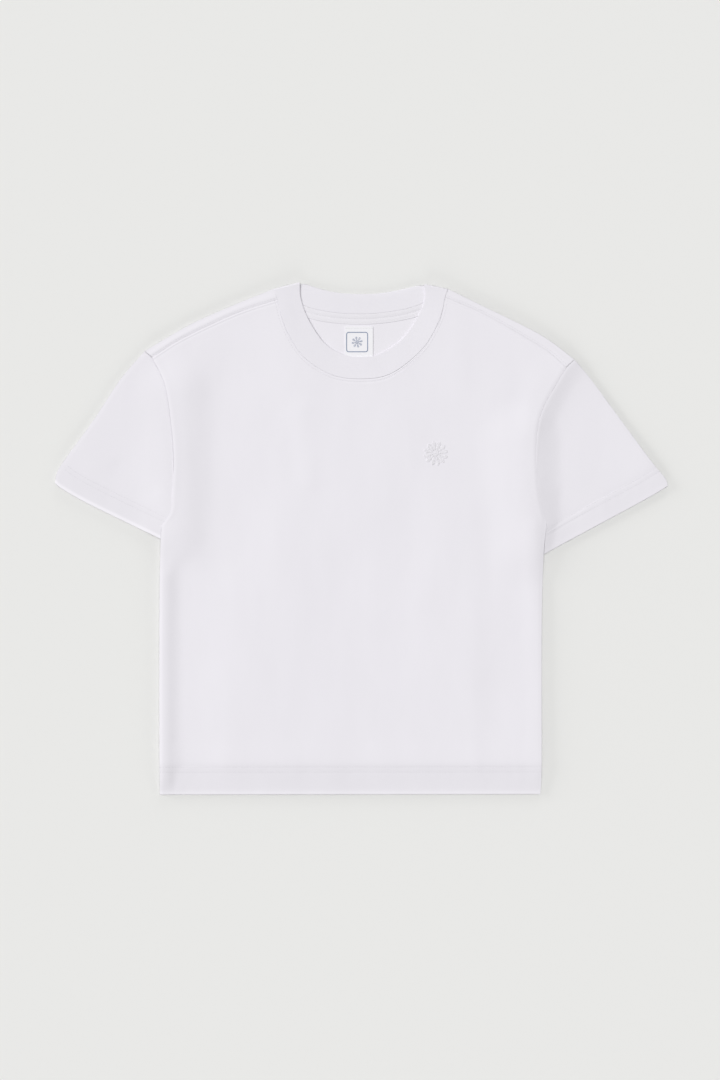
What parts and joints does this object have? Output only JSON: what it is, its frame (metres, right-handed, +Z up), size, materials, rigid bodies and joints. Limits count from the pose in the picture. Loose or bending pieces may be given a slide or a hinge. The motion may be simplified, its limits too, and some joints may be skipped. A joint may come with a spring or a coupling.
{
  "type": "t-shirt",
  "caption": "Short-sleeved child's T-shirt in white jersey, laid flat with its front up, with a rib neckband and turned hems.",
  "frame": {"origin": "middle of the outline seen from above, at the level of the surface that the T-shirt lies on", "axes": "+X to the right across the sleeves as seen from above, +Y towards the neck, +Z up"},
  "size_m": [0.612, 0.5118, 0.0057],
  "materials": {
    "jersey": "matte single jersey",
    "rib": "matte fine rib",
    "tape": "matte woven tape",
    "label": "soft sheen woven label"
  },
  "bodies": {
    "root": {"front": "jersey", "back": "jersey", "sleeve_left": "jersey", "sleeve_right": "jersey", "neckband": "rib", "neck_tape": "tape", "neck_label": "label"}
  },
  "joints": []
}
